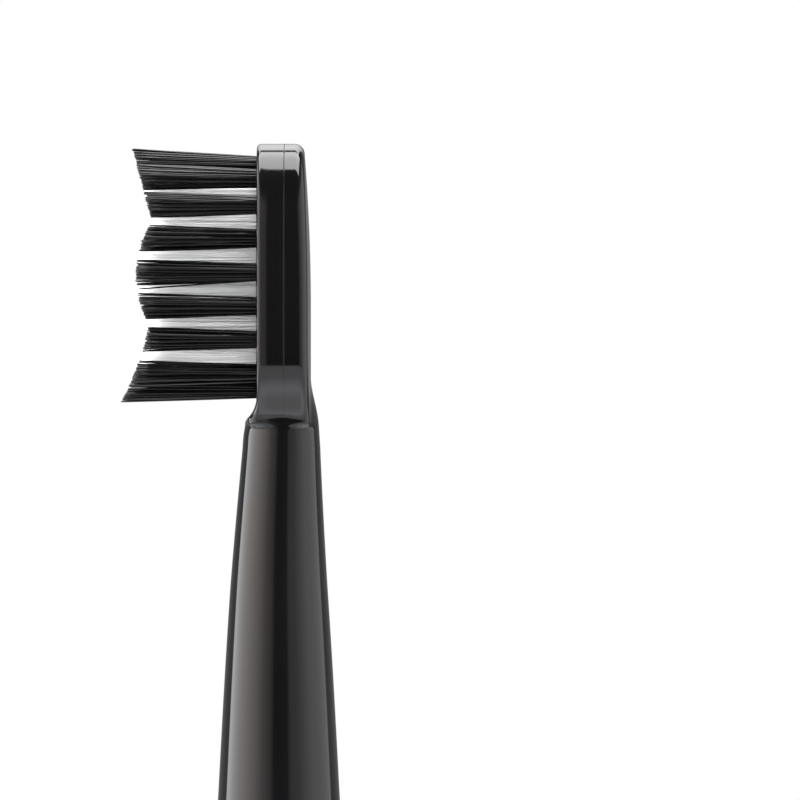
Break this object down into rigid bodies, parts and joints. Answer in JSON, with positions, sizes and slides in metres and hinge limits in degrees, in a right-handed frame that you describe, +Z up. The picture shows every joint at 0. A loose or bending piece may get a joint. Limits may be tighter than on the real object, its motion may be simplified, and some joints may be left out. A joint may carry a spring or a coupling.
{
  "type": "electric toothbrush on charger",
  "caption": "Black sonic toothbrush with an oval pull-off brush head and wavy bristles, standing on a round inductive charging base.",
  "frame": {"origin": "on the table under the middle of the charger, on the handle's own axis", "axes": "+Z up along the handle, the bristles, the button and the indicator face -Y, +X to the right of a person who looks at the bristles"},
  "size_m": [0.06, 0.06, 0.2669],
  "materials": {
    "head_black": "high gloss, injection moulded",
    "head_plate_black": "gloss, with a slightly duller flat face",
    "bristles_dark": "nylon filaments, satin",
    "bristles_light": "translucent white nylon filaments, satin",
    "staple_brass": "drawn wire",
    "ring_metal": "satin",
    "acetal_white": "as moulded",
    "spring_steel": "bright rolled",
    "shaft_steel": "ground and polished",
    "core_steel": "oiled laminations",
    "magnet": "nickel-plated neodymium, dull",
    "winding": "enamelled copper wire",
    "ferrite": "sintered ferrite",
    "bobbin": "as moulded",
    "bearing_bronze": "sintered bronze, oiled",
    "motor_steel": "zinc-plated",
    "handle_black": "satin, fine moulded texture",
    "cap_black": "satin",
    "button_metal": "anodised, spun face",
    "silicone_grey": "soft silicone",
    "rubber_black": "matte nitrile",
    "lens_smoke": "frosted light guide",
    "cell_wrap": "shrink sleeve",
    "nickel_strip": "nickel strip",
    "circuit_board": "solder mask",
    "chips": "moulded epoxy",
    "led": "phosphor under clear resin",
    "foam": "closed-cell foam",
    "charger_black": "satin gloss",
    "screw_steel": "zinc-plated",
    "inlet_metal": "bright nickel"
  },
  "bodies": {
    "charger": {"charger_shell": "charger_black", "charger_base_plate": "charger_black", "rubber_feet": "rubber_black", "base_screws": "screw_steel", "charger_board": "circuit_board", "usb_inlet": "inlet_metal", "charger_light_pipe": "lens_smoke", "charger_bobbin": "bobbin", "charger_coil": "winding", "post_ferrite": "ferrite"},
    "handle": {"handle_housing": "handle_black", "bottom_cap": "cap_black", "cap_seal_ring": "rubber_black", "receiver_bobbin": "bobbin", "receiver_coil": "winding", "chassis": "acetal_white", "battery_cell": "cell_wrap", "battery_tabs": "nickel_strip", "battery_pad": "foam", "main_board": "circuit_board", "board_components": "chips", "tact_switch": "inlet_metal", "indicator_leds": "led", "indicator_lens": "lens_smoke", "nose_seal": "silicone_grey", "motor_can": "motor_steel", "motor_front_cap": "acetal_white", "motor_rear_cap": "acetal_white", "front_bearing": "bearing_bronze", "rear_bearing": "bearing_bronze", "stator_core": "core_steel", "stator_coils": "winding"},
    "drive": {"drive_shaft": "shaft_steel", "rotor_hub": "core_steel", "rotor_magnets": "magnet"},
    "button": {"power_button": "button_metal", "button_pad": "silicone_grey"},
    "switch_plunger": {"tact_plunger": "chips"},
    "brush_head": {"head_body": "head_black", "bristle_plate": "head_plate_black", "head_base_ring": "ring_metal", "shaft_socket": "acetal_white", "grip_spring": "spring_steel", "tuft_anchors": "staple_brass", "outer_tuft_tip": "bristles_dark", "inner_tuft_tip": "bristles_light", "outer_tuft_pair_1": "bristles_dark", "outer_tuft_pair_2": "bristles_dark", "outer_tuft_pair_3": "bristles_dark", "outer_tuft_pair_4": "bristles_dark", "outer_tuft_pair_5": "bristles_dark", "outer_tuft_pair_6": "bristles_dark", "outer_tuft_pair_7": "bristles_dark", "outer_tuft_pair_8": "bristles_dark", "inner_tuft_pair_1": "bristles_light", "inner_tuft_pair_2": "bristles_light", "inner_tuft_pair_3": "bristles_light", "inner_tuft_pair_4": "bristles_light", "inner_tuft_pair_5": "bristles_light"}
  },
  "joints": [
    {"name": "handle_lift", "type": "slide", "parent": "charger", "child": "handle", "axis": [0, 0, 1], "range_m": [0, 0.03]},
    {"name": "shaft_swing", "type": "hinge", "parent": "handle", "child": "drive", "pos_m": [0, 0, 0.14], "axis": [0, 0, 1], "range_deg": [-5, 5], "stiffness_Nm_per_rad": 0.05},
    {"name": "head_pull_off", "type": "slide", "parent": "drive", "child": "brush_head", "axis": [0, 0, 1], "range_m": [0, 0.03]},
    {"name": "button_press", "type": "slide", "parent": "handle", "child": "button", "axis": [0, 1, 0], "range_m": [0, 0.0003], "stiffness_N_per_m": 3000},
    {"name": "plunger_press", "type": "slide", "parent": "handle", "child": "switch_plunger", "axis": [0, 1, 0], "range_m": [0, 0.0003]}
  ],
  "couplings": [
    {"joint": "plunger_press", "follows": "button_press", "ratio": 1}
  ]
}
